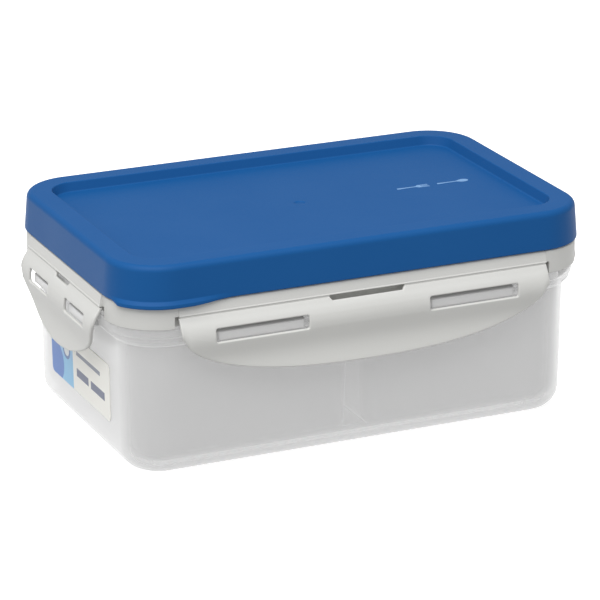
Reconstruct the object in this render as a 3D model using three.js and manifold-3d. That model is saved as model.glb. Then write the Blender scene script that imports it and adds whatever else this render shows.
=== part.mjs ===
// A lunch box, built piece by piece: a clear food container with two lift-out trays, a lid with a
// seal ring and four locking flaps on film hinges, and a blue cover that clips over the lid.
// Millimetres, +Z up. The origin is the centre of the base, on the surface that the box stands on.
// +X runs along the length and -Y is the long side that faces the user.

import * as THREE from 'three';
import { mergeVertices } from 'three/addons/utils/BufferGeometryUtils.js';
import Module from 'manifold-3d';

const wasm = await Module();
wasm.setup();

// ---------------------------------------------------------------- driving dimensions

// Container, lid and cover are all swept round one core rectangle. A wall's place is given as its
// radius: the distance outside the core, which is also its corner radius in plan.
const CORE_X = 78.1;
const CORE_Y = 41.2;
const ARC_DIVISIONS = 4;          // half the number of steps in each plan corner
const GAP = 0.3;                  // clearance between pieces that rest on one another

const WALL_FOOT = 15.8;           // container wall at the top of the bottom fillet
const WALL_TOP = 16.5;            // container wall under the rim
const WALL_THICKNESS = 1.6;
const BASE_FILLET = 9.0;
const FOOT_INNER = 3.0;           // inner edge of the foot ring
const FOOT_RECESS = 2.0;
const FLOOR_TOP = 4.2;
const INNER_FILLET = 7.2;
const RIM_RADIUS = 20.1;
const RIM_STEP = 19.2;
const RIM_BOTTOM = 53.6;
const RIM_TOP = 61.5;
const LIP_RADIUS = 16.7;
const LIP_TOP = 66.6;

const SKIRT_RADIUS = 21.3;        // lid skirt at the four corners
const SKIRT_INNER = 19.9;
const SKIRT_BOTTOM = RIM_TOP + GAP;
const LID_EDGE_TOP = 71.4;
const PANEL_TOP = 71.2;           // sunk middle of the lid
const CHANNEL_ROOF = 69.4;        // seal channel
const CHANNEL_OUTER = [17.3, 18.6, 62.2];   // inner face, outer face, lower edge
const CHANNEL_INNER = [13.1, 14.4, 60.5];
const PLATEAU_RADIUS = 19.6;      // ring on the lid that the cover fits round
const PLATEAU_TOP = 76.6;
const PLATEAU_WIDTH = 2.0;
const SEAL = [14.7, 17.0, LIP_TOP + GAP, CHANNEL_ROOF - GAP];

const COVER_BOTTOM = 71.8;
const COVER_RADIUS = 21.9;
const COVER_TOP_RADIUS = 20.7;
const COVER_TOP = 87.0;
const COVER_WALL = 1.6;
const COVER_ROUND = 2.6;          // rounding of the top edge
const COVER_RIM_WIDTH = 10.0;     // rim round the sunk top panel
const COVER_RECESS = 3.9;
const LIFT_LIP = [21.6, 23.2, 70.5, 73.0];  // inner face, outer face, bottom, top
const LIFT_LIP_FRONT_END = -56;
const LIFT_LIP_SIDE_END = -50;

const HINGE_Z = 65.9;
const HINGE_HALF_GAP = 0.75;      // from the hinge line to the lid above and the flap below
const FLAP_THICKNESS = 1.4;
const SHOULDER_BACK = 3.0;        // how far the lid's hinge shoulder reaches inwards
const WEB_THICKNESS = 0.5;
const FLAP_FACE = [               // outer face: outward from the hinge line, and below it
  [0.1, -0.75], [0.9, -1.6], [2.1, -3.2], [3.1, -5.6], [3.5, -8.0], [3.35, -10.5],
  [2.7, -13.5], [2.1, -16.5], [2.0, -19.5], [2.5, -23.0], [3.5, -27.4],
];
const WINDOW_BOTTOM = 55.5;
const WINDOW_TOP = 61.0;
const CATCH_TIP = 0.5;            // reach of the catches past the hinge line
const CATCH_HEIGHTS = [55.6, 58.0];
const CATCH_CLEAR = 0.7;          // from the end of a catch to the end of its window

const LONG_SIDE = {
  reach: 63.1, half: 77.8, bottom: 39.8, ends: 62.0, power: 2.4, root: 2.3,
  window: [25.6, 64.0], slot: 15.9,
};
const SHORT_SIDE = {
  reach: 100.8, half: 39.6, bottom: 39.4, ends: 62.0, power: 2.0, root: 2.0,
  window: [9.0, 30.0], slot: 7.5,
};
const SIDES = [
  { name: 'front', turn: 0, ...LONG_SIDE },
  { name: 'right', turn: 90, ...SHORT_SIDE },
  { name: 'back', turn: 180, ...LONG_SIDE },
  { name: 'left', turn: 270, ...SHORT_SIDE },
];
const FLAP_END_GAP = 1.5;         // between a flap's end and the corner skirt

const TRAY_WALL = 1.3;
const TRAY_CORNER = 12.5;         // plan corner radius at the tray's floor
const TRAY_TIGHTER = 8.0;         // how much less the corners at the middle of the box are rounded
const TRAY_FILLET = 7.0;
const TRAY_BOTTOM = FLOOR_TOP + GAP;
const TRAY_TOP = 60.1;
const TRAY_FLARE = 1.2;           // draft from the floor to the rim
const TRAY_RIM = 0.8;
const TRAY_HALF_WIDTH = 53.7;     // at the floor, across the box
const TRAY_OUTER_END = 90.6;      // at the floor, towards the end of the box
const TRAY_INNER_END = 3.6;       // at the floor, towards the middle of the box
const DIVIDER_TOP = 57.0;

const LABEL_WIDTH = 64.0;
const LABEL_BOTTOM = 16.0;
const LABEL_TOP = 39.5;
const LABEL_THICKNESS = 0.3;
const LABEL_CORNER = 2.2;

// ---------------------------------------------------------------- materials

const FINISHES = {
  clear: { color: 0xdfe0dc, roughness: 0.3, metalness: 0 },
  grey: { color: 0xdcdcd8, roughness: 0.45, metalness: 0 },
  blue: { color: 0x2c62ad, roughness: 0.4, metalness: 0 },
  silicone: { color: 0xf2f2ee, roughness: 0.6, metalness: 0 },
  paper: { color: 0xeeeee6, roughness: 0.5, metalness: 0 },
};

// ---------------------------------------------------------------- helpers

// A closed three.js geometry as a solid that can be joined and cut.
function solid(geometry) {
  geometry.deleteAttribute('normal');
  geometry.deleteAttribute('uv');
  const merged = mergeVertices(geometry, 1e-4);
  return new wasm.Manifold(new wasm.Mesh({
    numProp: 3,
    vertProperties: new Float32Array(merged.attributes.position.array),
    triVerts: new Uint32Array(merged.index.array),
  }));
}

// A solid back as a named mesh with its own material.
function piece(name, finish, body) {
  const { vertProperties, triVerts } = body.getMesh();
  const geometry = new THREE.BufferGeometry();
  geometry.setAttribute('position', new THREE.BufferAttribute(vertProperties, 3));
  geometry.setIndex(new THREE.BufferAttribute(triVerts, 1));
  geometry.computeVertexNormals();
  const mesh = new THREE.Mesh(geometry, new THREE.MeshStandardMaterial(FINISHES[finish]));
  mesh.name = name;
  return mesh;
}

function roundedRectangle(halfX, halfY, radius) {
  const shape = new THREE.Shape();
  const quarter = Math.PI / 2;
  shape.absarc(halfX - radius, halfY - radius, radius, 0, quarter);
  shape.absarc(radius - halfX, halfY - radius, radius, quarter, 2 * quarter);
  shape.absarc(radius - halfX, radius - halfY, radius, 2 * quarter, 3 * quarter);
  shape.absarc(halfX - radius, radius - halfY, radius, 3 * quarter, 4 * quarter);
  return shape;
}

// A filled stack of rounded rectangles round a core rectangle, one for each [radius, height]. The two
// corners on the tight side of x, if there is one, are rounded less.
function stack(coreX, coreY, profile, tightSide = 0) {
  const shape = roundedRectangle(coreX + 1, coreY + 1, 1);
  const layers = profile.length - 1;
  const geometry = new THREE.ExtrudeGeometry(shape, {
    depth: layers, steps: layers, bevelEnabled: false, curveSegments: ARC_DIVISIONS,
  });
  const { position } = geometry.attributes;
  for (let i = 0; i < position.count; i += 1) {
    const [radius, height] = profile[Math.round(position.getZ(i))];
    const centreX = THREE.MathUtils.clamp(position.getX(i), -coreX, coreX);
    const centreY = THREE.MathUtils.clamp(position.getY(i), -coreY, coreY);
    const tight = centreX * tightSide > 0;
    const corner = tight ? Math.max(radius - TRAY_TIGHTER, radius / 4) : radius;
    const shift = radius - corner;
    position.setXYZ(
      i,
      centreX + Math.sign(centreX) * shift + (position.getX(i) - centreX) * corner,
      centreY + Math.sign(centreY) * shift + (position.getY(i) - centreY) * corner,
      height,
    );
  }
  return solid(geometry);
}

const boxStack = (profile) => stack(CORE_X, CORE_Y, profile);

// A ring between two radii and two heights.
function boxRing(inner, outer, bottom, top) {
  const past = 1;
  return boxStack([[outer, bottom], [outer, top]])
    .subtract(boxStack([[inner, bottom - past], [inner, top + past]]));
}

// Points of an arc from one angle to another, in degrees.
function arc(centreR, centreZ, radius, from, to, steps) {
  const points = [];
  for (let i = 0; i <= steps; i += 1) {
    const angle = THREE.MathUtils.degToRad(from + ((to - from) * i) / steps);
    points.push([centreR + radius * Math.cos(angle), centreZ + radius * Math.sin(angle)]);
  }
  return points;
}

function block(sizeX, sizeY, sizeZ, x, y, z) {
  return solid(new THREE.BoxGeometry(sizeX, sizeY, sizeZ).translate(x, y, z));
}

// The frame of each side is: along the side, outwards, up. These two build in that frame for the
// front side and turn the result to the side's own place.
function sideBar(side, section, from, to) {
  const shape = new THREE.Shape(section.map(([out, up]) => new THREE.Vector2(out, up)));
  const geometry = new THREE.ExtrudeGeometry(shape, { depth: to - from, bevelEnabled: false });
  geometry.applyMatrix4(new THREE.Matrix4().makeBasis(
    new THREE.Vector3(0, -1, 0), new THREE.Vector3(0, 0, 1), new THREE.Vector3(-1, 0, 0),
  ));
  geometry.translate(to, -side.reach, HINGE_Z);
  return solid(geometry.rotateZ(THREE.MathUtils.degToRad(side.turn)));
}

function sideCutter(side, shape, depth) {
  const geometry = new THREE.ExtrudeGeometry(shape, {
    depth, bevelEnabled: false, curveSegments: ARC_DIVISIONS,
  });
  geometry.applyMatrix4(new THREE.Matrix4().makeBasis(
    new THREE.Vector3(1, 0, 0), new THREE.Vector3(0, 0, 1), new THREE.Vector3(0, -1, 0),
  ));
  geometry.translate(0, depth / 2 - side.reach, 0);
  return solid(geometry.rotateZ(THREE.MathUtils.degToRad(side.turn)));
}

// ---------------------------------------------------------------- container

// The catches that the flaps' windows close over, two on each side.
function catches(side) {
  const root = RIM_STEP - 1 - (side.reach - (side.turn % 180 ? CORE_X : CORE_Y));
  const [low, high] = CATCH_HEIGHTS.map((height) => height - HINGE_Z);
  const section = [
    [root, low - 0.4], [CATCH_TIP, low], [CATCH_TIP, high], [root, high + 1.2],
  ];
  const [near, far] = [side.window[0] + CATCH_CLEAR, side.window[1] - CATCH_CLEAR];
  return sideBar(side, section, near, far).add(sideBar(side, section, -far, -near));
}

function container() {
  const outer = boxStack([
    ...arc(WALL_FOOT - BASE_FILLET, BASE_FILLET, BASE_FILLET, -90, 0, 6),
    [WALL_TOP, RIM_BOTTOM],
    [RIM_STEP - 1.2, RIM_BOTTOM + 0.8],
    [RIM_STEP, RIM_BOTTOM + 2.2],
    [RIM_STEP, RIM_BOTTOM + 4.0],
    [RIM_RADIUS, RIM_BOTTOM + 4.5],
    [RIM_RADIUS, RIM_TOP - 0.4],
    [RIM_RADIUS - 0.4, RIM_TOP],
    [LIP_RADIUS, RIM_TOP],
    [LIP_RADIUS, LIP_TOP - 0.4],
    [LIP_RADIUS - 0.4, LIP_TOP],
  ]);
  const innerFoot = WALL_FOOT - WALL_THICKNESS;
  const inside = boxStack([
    ...arc(innerFoot - INNER_FILLET, FLOOR_TOP + INNER_FILLET, INNER_FILLET, -90, 0, 5),
    [WALL_TOP - WALL_THICKNESS, RIM_TOP],
    [WALL_TOP - WALL_THICKNESS + 0.2, LIP_TOP + 1],
  ]);
  const underside = boxStack([
    [FOOT_INNER, -1], [FOOT_INNER, FOOT_RECESS - 0.8], [FOOT_INNER - 0.8, FOOT_RECESS],
  ]);
  const ribbed = SIDES.reduce((body, side) => body.add(catches(side)), outer);
  return ribbed.subtract(inside).subtract(underside);
}

// ---------------------------------------------------------------- trays

// Each tray fills half of the container. Its rim turns outwards, and its corners are rounded. End is
// 1 for a tray at +X and -1 for one at -X.
function trayShell(end) {
  const halfX = (TRAY_OUTER_END - TRAY_INNER_END) / 2;
  const coreX = halfX - TRAY_CORNER;
  const coreY = TRAY_HALF_WIDTH - TRAY_CORNER;
  const rimRadius = TRAY_CORNER + TRAY_FLARE + TRAY_RIM;
  const outer = stack(coreX, coreY, [
    ...arc(TRAY_CORNER - TRAY_FILLET, TRAY_BOTTOM + TRAY_FILLET, TRAY_FILLET, -90, 0, 4),
    [TRAY_CORNER + TRAY_FLARE, TRAY_TOP - 1.4],
    [rimRadius, TRAY_TOP - 1.2],
    [rimRadius, TRAY_TOP],
  ], -end);
  const fillet = TRAY_FILLET - TRAY_WALL;
  const inside = stack(coreX, coreY, [
    ...arc(TRAY_CORNER - TRAY_FILLET, TRAY_BOTTOM + TRAY_FILLET, fillet, -90, 0, 4),
    [TRAY_CORNER + TRAY_FLARE - TRAY_WALL, TRAY_TOP + 1],
  ], -end);
  return { outer, inside, halfX };
}

function tray(wells, end) {
  const { outer, inside, halfX } = trayShell(end);
  const shell = outer.subtract(inside);
  if (wells === 1) return shell;
  const height = DIVIDER_TOP - TRAY_BOTTOM;
  const wall = block(4 * halfX, TRAY_WALL, height, 0, 0, TRAY_BOTTOM + height / 2);
  return shell.add(outer.intersect(wall));
}

function placedTray(name, wells, end) {
  const mesh = piece(name, 'clear', tray(wells, end));
  mesh.position.x = (end * (TRAY_OUTER_END + TRAY_INNER_END)) / 2;
  return mesh;
}

// ---------------------------------------------------------------- lid, seal and hinges

function shoulder(side) {
  const top = LID_EDGE_TOP - HINGE_Z;
  const section = [
    [-SHOULDER_BACK, HINGE_HALF_GAP], [-0.1, HINGE_HALF_GAP], [0.1, HINGE_HALF_GAP + 0.4],
    [-0.7, top - 0.9], [-1.3, top], [-SHOULDER_BACK, top],
  ];
  return sideBar(side, section, -side.half, side.half);
}

// Clears the skirt away where a flap hangs, from behind the flap outwards.
function flapOpening(side) {
  const half = side.half + FLAP_END_GAP;
  const top = HINGE_Z + HINGE_HALF_GAP;
  const depth = 10;
  const inner = (side.turn % 180 ? CORE_X : CORE_Y) + CHANNEL_OUTER[1] + 0.3;
  const cutter = new THREE.BoxGeometry(2 * half, depth, top - SKIRT_BOTTOM + 2);
  cutter.translate(0, -inner - depth / 2, (top + SKIRT_BOTTOM - 2) / 2);
  return solid(cutter.rotateZ(THREE.MathUtils.degToRad(side.turn)));
}

function lid() {
  const edge = boxStack([
    [SKIRT_RADIUS - 0.4, SKIRT_BOTTOM],
    [SKIRT_RADIUS, SKIRT_BOTTOM + 0.5],
    [SKIRT_RADIUS, LID_EDGE_TOP - 0.7],
    [SKIRT_RADIUS - 0.7, LID_EDGE_TOP],
    [PLATEAU_RADIUS, LID_EDGE_TOP],
    [PLATEAU_RADIUS - 0.2, PLATEAU_TOP - 0.7],
    [PLATEAU_RADIUS - 0.9, PLATEAU_TOP],
  ]);
  const sunkPanel = boxStack([
    [PLATEAU_RADIUS - PLATEAU_WIDTH - 1.4, PANEL_TOP],
    [PLATEAU_RADIUS - PLATEAU_WIDTH - 0.6, PANEL_TOP + 0.8],
    [PLATEAU_RADIUS - PLATEAU_WIDTH, PLATEAU_TOP + 1],
  ]);
  const below = SKIRT_BOTTOM - 1;
  const hollow = boxStack([[SKIRT_INNER, below], [SKIRT_INNER, CHANNEL_ROOF - 0.5],
    [SKIRT_INNER - 0.5, CHANNEL_ROOF]]);
  const body = edge.subtract(sunkPanel).subtract(hollow);
  const opened = SIDES.reduce((rest, side) => rest.subtract(flapOpening(side)), body);
  const shouldered = SIDES.reduce((rest, side) => rest.add(shoulder(side)), opened);
  const over = CHANNEL_ROOF + 0.5;
  return shouldered
    .add(boxRing(CHANNEL_OUTER[0], CHANNEL_OUTER[1], CHANNEL_OUTER[2], over))
    .add(boxRing(CHANNEL_INNER[0], CHANNEL_INNER[1], CHANNEL_INNER[2], over));
}

// The film hinges: thin webs between the lid's shoulder and the flap, on both sides of a slot.
function filmHinge(side, end) {
  const half = HINGE_HALF_GAP - GAP;
  const section = [
    [-WEB_THICKNESS, -half], [0, -half], [0, half], [-WEB_THICKNESS, half],
  ];
  const [near, far] = [side.slot, side.half - 0.5];
  return end > 0 ? sideBar(side, section, near, far) : sideBar(side, section, -far, -near);
}

// ---------------------------------------------------------------- flaps

// Lower edge of a flap: height above the base at a distance along the side.
function flapEdge(side, along) {
  const share = Math.abs(along / side.half) ** side.power;
  return side.bottom + (side.ends - side.bottom) * (1 - (1 - share) ** (1 / side.root));
}

// The flap seen square on: its rounded lower edge and the slot in its hinge edge.
function flapOutline(side) {
  const steps = 40;
  const top = HINGE_Z;
  const notch = HINGE_Z - HINGE_HALF_GAP - 0.4;
  const shape = new THREE.Shape();
  shape.moveTo(-side.half, top);
  for (let i = 0; i <= steps; i += 1) {
    const along = -side.half * Math.cos((Math.PI * i) / steps);
    shape.lineTo(along, flapEdge(side, along));
  }
  shape.lineTo(side.half, top);
  shape.lineTo(side.slot, top);
  shape.lineTo(side.slot - 0.6, notch);
  shape.lineTo(0.6 - side.slot, notch);
  shape.lineTo(-side.slot, top);
  return shape;
}

// Both windows of a flap, as blocks to cut away.
function windows(side, depth) {
  const [near, far] = side.window;
  const section = [
    [-depth, WINDOW_BOTTOM - HINGE_Z], [depth, WINDOW_BOTTOM - HINGE_Z],
    [depth, WINDOW_TOP - HINGE_Z], [-depth, WINDOW_TOP - HINGE_Z],
  ];
  return sideBar(side, section, near, far).add(sideBar(side, section, -far, -near));
}

function flap(side) {
  const curve = new THREE.SplineCurve(FLAP_FACE.map(([out, up]) => new THREE.Vector2(out, up)));
  const steps = 14;
  const outer = curve.getPoints(steps);
  const inner = outer.map((point, i) => {
    const tangent = curve.getTangent(i / steps);
    return new THREE.Vector2(tangent.y, -tangent.x).multiplyScalar(FLAP_THICKNESS).add(point);
  });
  inner[0].y = outer[0].y;
  const section = [...outer, ...inner.reverse()].map((point) => [point.x, point.y]);
  return sideBar(side, section, -side.half, side.half)
    .intersect(sideCutter(side, flapOutline(side), 20))
    .subtract(windows(side, 10));
}

// ---------------------------------------------------------------- cover

// The lip at one corner that a thumb lifts the cover by.
function liftLip() {
  const [inner, outer, bottom, top] = LIFT_LIP;
  const ring = boxStack([
    [outer - 0.6, bottom], [outer, bottom + 0.6], [outer - 0.3, bottom + 1.4], [inner, top],
  ]).subtract(boxStack([[inner, bottom - 1], [inner, COVER_BOTTOM], [inner - 1, COVER_BOTTOM + 0.1],
    [inner - 1, top + 1]]));
  const reachX = CORE_X + outer + 1;
  const reachY = CORE_Y + outer + 1;
  const width = reachX + LIFT_LIP_FRONT_END;
  const depth = reachY + LIFT_LIP_SIDE_END;
  const corner = block(width, depth, 10, width / 2 - reachX, depth / 2 - reachY, bottom);
  return ring.intersect(corner);
}

function cover() {
  const round = COVER_ROUND;
  const outer = boxStack([
    [COVER_RADIUS, COVER_BOTTOM],
    [COVER_TOP_RADIUS, COVER_TOP - round],
    ...arc(COVER_TOP_RADIUS - round, COVER_TOP - round, round, 0, 90, 4).slice(1),
  ]);
  const rim = COVER_TOP_RADIUS - COVER_RIM_WIDTH;
  const panel = COVER_TOP - COVER_RECESS;
  const recess = boxStack([[rim - 2.2, panel], [rim - 1.2, panel + 0.5], [rim, COVER_TOP + 0.1]]);
  const wall = COVER_WALL;
  const inside = boxStack([
    [COVER_RADIUS - wall, COVER_BOTTOM - 1],
    [COVER_TOP_RADIUS - wall, COVER_TOP - round - 0.6],
    [COVER_TOP_RADIUS - wall - 2, COVER_TOP - wall],
  ]);
  // The underside of the sunk panel, which hangs into the hollow as one thickness of wall.
  const sunkUnderside = boxStack([
    [rim + wall - 1.2, panel - wall], [rim + wall - 0.6, panel - wall + 0.4],
    [rim + wall + 0.6, COVER_TOP],
  ]);
  return outer.subtract(inside.subtract(sunkUnderside)).subtract(recess).add(liftLip());
}

// ---------------------------------------------------------------- seal and label

function sealRing() {
  const [inner, outer, bottom, top] = SEAL;
  return boxRing(inner, outer, bottom, top);
}

function label() {
  const height = LABEL_TOP - LABEL_BOTTOM;
  const shape = roundedRectangle(LABEL_WIDTH / 2, height / 2, LABEL_CORNER);
  const geometry = new THREE.ExtrudeGeometry(shape, {
    depth: LABEL_THICKNESS, bevelEnabled: false, curveSegments: ARC_DIVISIONS,
  });
  const mesh = piece('label', 'paper', solid(geometry));
  const draft = Math.atan((WALL_TOP - WALL_FOOT) / (RIM_BOTTOM - BASE_FILLET));
  const middle = (LABEL_TOP + LABEL_BOTTOM) / 2;
  const wall = WALL_FOOT + (middle - BASE_FILLET) * Math.tan(draft);
  mesh.rotation.set(Math.PI / 2 + draft, 0, 0);
  const turned = new THREE.Group();
  turned.add(mesh);
  turned.rotation.z = -Math.PI / 2;
  turned.position.set(-CORE_X - wall - GAP, 0, middle);
  return turned;
}

// ---------------------------------------------------------------- assembly

const lunchBox = new THREE.Group();
lunchBox.add(piece('container', 'clear', container()));
lunchBox.add(label());
lunchBox.add(placedTray('left_tray', 1, -1));
lunchBox.add(placedTray('right_tray', 2, 1));
lunchBox.add(piece('lid', 'grey', lid()));
lunchBox.add(piece('seal_ring', 'silicone', sealRing()));
for (const side of SIDES) {
  lunchBox.add(piece(`${side.name}_flap`, 'grey', flap(side)));
  lunchBox.add(piece(`${side.name}_hinge_a`, 'grey', filmHinge(side, -1)));
  lunchBox.add(piece(`${side.name}_hinge_b`, 'grey', filmHinge(side, 1)));
}
lunchBox.add(piece('cover', 'blue', cover()));

export default lunchBox;
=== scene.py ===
# %% [markdown]
# # A lunch box with a clip-on cover
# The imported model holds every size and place, so the first step loads it as a fixed frame. Each
# moulded piece is then made again with fine, rounded sections, takes its own plastic, and rides on
# the body that carries it. Sections are written in millimetres, because that is how such a mould is
# drawn, and one constant turns them into Blender's metres.

# %% The frame
import math

import bpy
import numpy as np
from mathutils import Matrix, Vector


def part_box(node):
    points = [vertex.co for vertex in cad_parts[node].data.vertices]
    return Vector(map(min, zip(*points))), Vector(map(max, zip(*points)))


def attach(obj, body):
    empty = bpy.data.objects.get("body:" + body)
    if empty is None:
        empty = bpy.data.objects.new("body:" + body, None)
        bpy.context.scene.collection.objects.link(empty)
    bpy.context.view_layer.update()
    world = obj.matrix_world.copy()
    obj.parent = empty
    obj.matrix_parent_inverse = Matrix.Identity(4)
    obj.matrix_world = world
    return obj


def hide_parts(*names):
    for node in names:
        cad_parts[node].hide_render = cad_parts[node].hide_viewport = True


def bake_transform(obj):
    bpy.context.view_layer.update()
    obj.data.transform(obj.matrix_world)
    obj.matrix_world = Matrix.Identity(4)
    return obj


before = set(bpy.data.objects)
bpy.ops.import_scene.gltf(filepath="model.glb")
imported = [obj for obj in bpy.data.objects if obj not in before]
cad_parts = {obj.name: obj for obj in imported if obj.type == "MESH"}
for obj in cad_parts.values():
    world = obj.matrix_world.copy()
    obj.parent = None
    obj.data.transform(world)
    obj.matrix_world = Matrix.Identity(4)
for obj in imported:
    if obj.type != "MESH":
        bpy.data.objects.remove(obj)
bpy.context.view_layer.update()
MM = 0.001

# %% [markdown]
# Every wall of the box runs round one core rectangle, and its distance outside that rectangle is
# also its corner radius. The seal ring is a plain ring, so its box gives the core rectangle.

# %% The core rectangle
SEAL_INNER, SEAL_OUTER = 14.7, 17.0
seal_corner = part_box("seal_ring")[1]
CORE_X = seal_corner.x / MM - SEAL_OUTER
CORE_Y = seal_corner.y / MM - SEAL_OUTER
print(f"core rectangle: {2 * CORE_X:.1f} x {2 * CORE_Y:.1f} mm")

# %% [markdown]
# A moulded wall is easiest to describe by its section: a few corners, each with a rounding. The
# corners are listed as distance out, height and radius, and this helper turns each one into an arc.
# Modelling the rounding as real faces, rather than with a bevel at the end, keeps the same count of
# points in every section, so two different sections can be joined side by side.

# %% Rounded sections
ARC_STEPS = 5


def rounded(corners):
    """Points of a section whose corners (out, up, radius) become arcs."""
    points = []
    for index, (out, up, radius) in enumerate(corners):
        here = Vector((out, up))
        if radius == 0:
            points.append(here)
            continue
        back = (Vector(corners[index - 1][:2]) - here).normalized()
        ahead = (Vector(corners[(index + 1) % len(corners)][:2]) - here).normalized()
        half = back.angle(ahead) / 2
        shares = [step / ARC_STEPS for step in range(ARC_STEPS + 1)]
        if half > math.radians(88):
            points += [here + ahead * radius * (share - 0.5) for share in shares]
            continue
        centre = here + (back + ahead).normalized() * radius / math.sin(half)
        reach = radius / math.tan(half)
        first, last = here + back * reach - centre, here + ahead * reach - centre
        turn = math.pi - 2 * half
        points += [centre + (first * math.sin((1 - share) * turn) + last * math.sin(share * turn))
                   / math.sin(turn) for share in shares]
    return np.array([tuple(point) for point in points])


def fade(value, start, end):
    """0 at start, 1 at end, and smooth between."""
    share = np.clip((value - start) / (end - start), 0, 1)
    return share * share * (3 - 2 * share)


print("a rounded corner has", ARC_STEPS + 1, "points")

# %% [markdown]
# The sections are swept round the core rectangle. A station is one place on that path: a point on
# the core, and the direction outwards. One quarter is made with the stations that the shape needs
# and then mirrored, which keeps all four corners alike. A tray's two corners at the middle of the
# box are the exception: the sweep rounds them less, because the other tray stands beside them.

# %% Stations round the box
CORNER_STEPS = 16


def stations(core_x=None, core_y=None, marks_x=(), marks_y=(), angles=()):
    """Rows of (core x, core y, outward x, outward y), anticlockwise round the box."""
    core_x, core_y = core_x or CORE_X, core_y or CORE_Y
    spacing = 5.0
    along_y = sorted({*np.linspace(0, core_y, math.ceil(core_y / spacing)), *marks_y})
    along_x = sorted({*np.linspace(0, core_x, math.ceil(core_x / spacing)), *marks_x})
    turns = sorted({*np.linspace(0, 90, CORNER_STEPS + 1), *angles})[1:-1]
    quarter = [(core_x, y, 1.0, 0.0) for y in along_y]
    quarter += [(core_x, core_y, math.cos(math.radians(a)), math.sin(math.radians(a))) for a in turns]
    quarter += [(x, core_y, 0.0, 1.0) for x in reversed(along_x)]
    quarter = np.array(quarter)
    mirrors = [(1, 1, 1), (-1, 1, -1), (-1, -1, 1), (1, -1, -1)]
    return np.concatenate([(quarter[::way] * [sx, sy, sx, sy])[:-1] for sx, sy, way in mirrors])


TRAY_TIGHTER = 8.0


def sweep(path, sections, tight_side=0):
    """Places sections, one for each station or one for all, as a grid of points in metres.
    The two corners on the tight side of x, if there is one, are rounded less."""
    sections = np.broadcast_to(sections, (len(path), *np.shape(sections)[-2:]))
    out, up = sections[..., 0], sections[..., 1]
    core, outward = path[:, None, :2], path[:, None, 2:]
    cornered = np.all(np.abs(core) > np.abs(path[:, :2]).max(axis=0) - 1e-9, axis=-1)
    tight = cornered & (core[..., 0] * tight_side > 0)
    corner = np.where(tight, np.maximum(out - TRAY_TIGHTER, out / 4), out)
    flat = core + outward * corner[..., None] + np.sign(core) * (out - corner)[..., None]
    return np.concatenate([flat, up[..., None]], axis=-1) * MM


def skin(grid, ring=False):
    """Faces over a grid whose rows close round the box. A ring has no flat end faces."""
    rows, columns = grid.shape[:2]
    index = np.arange(rows * columns).reshape(rows, columns)
    after = np.roll(index, -1, axis=0)
    if ring:
        near, far = index, after
        near_up, far_up = np.roll(index, -1, axis=1), np.roll(after, -1, axis=1)
    else:
        near, far, near_up, far_up = index[:, :-1], after[:, :-1], index[:, 1:], after[:, 1:]
    faces = np.stack([near, far, far_up, near_up], axis=-1).reshape(-1, 4).tolist()
    if not ring:
        faces += [index[::-1, 0].tolist(), index[:, -1].tolist()]
    return grid.reshape(-1, 3).tolist(), faces


print("stations round the container:", len(stations()))

# %% [markdown]
# Every piece goes through the same last steps: a mesh with soft corners and crisp edges, its finish,
# the body it rides on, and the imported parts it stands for. Weighted normals keep the large flat
# walls flat in the light, right up to their small roundings.

# %% Making a piece
def piece(name, points, faces, finish, slot, body=None, nodes=(), crisp=40):
    mesh = bpy.data.meshes.new(name)
    mesh.from_pydata(points, [], faces)
    mesh.validate()
    mesh.shade_smooth()
    mesh.set_sharp_from_angle(angle=math.radians(crisp))
    made = bpy.data.objects.new(name, mesh)
    bpy.context.scene.collection.objects.link(made)
    made.data.materials.append(finish)
    if body:
        even = made.modifiers.new("even_walls", "WEIGHTED_NORMAL")
        even.keep_sharp = True
        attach(made, body)
    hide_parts(*nodes)
    print(f"{name}: {len(mesh.vertices)} points, {len(mesh.polygons)} faces")
    return made


# %% [markdown]
# Shader maths reads best as plain arithmetic, so a small class wraps a socket and turns each
# operator into a Math node. Everything else in a finish comes from one method that takes the kind of
# node, its settings and what goes into its sockets.

# %% Shader helpers
class Wire:
    """A socket that can stand in arithmetic."""

    def __init__(self, finish, socket):
        self.finish = finish
        self.socket = socket

    def sum(self, operation, *values):
        inputs = dict(enumerate(values))
        return self.finish.node("ShaderNodeMath", {"operation": operation}, inputs)

    def __add__(self, other):
        return self.sum("ADD", self, other)

    def __sub__(self, other):
        return self.sum("SUBTRACT", self, other)

    def __rsub__(self, other):
        return self.sum("SUBTRACT", other, self)

    def __mul__(self, other):
        return self.sum("MULTIPLY", self, other)

    __radd__ = __add__
    __rmul__ = __mul__

    def size(self):
        return self.sum("ABSOLUTE", self)

    def below(self, limit, softness):
        """1 where the value is under the limit, with a soft edge."""
        settings = {"interpolation_type": "SMOOTHSTEP"}
        inputs = {"Value": self, "From Min": limit - softness, "From Max": limit + softness,
                  "To Min": 1.0, "To Max": 0.0}
        return self.finish.node("ShaderNodeMapRange", settings, inputs)


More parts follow.
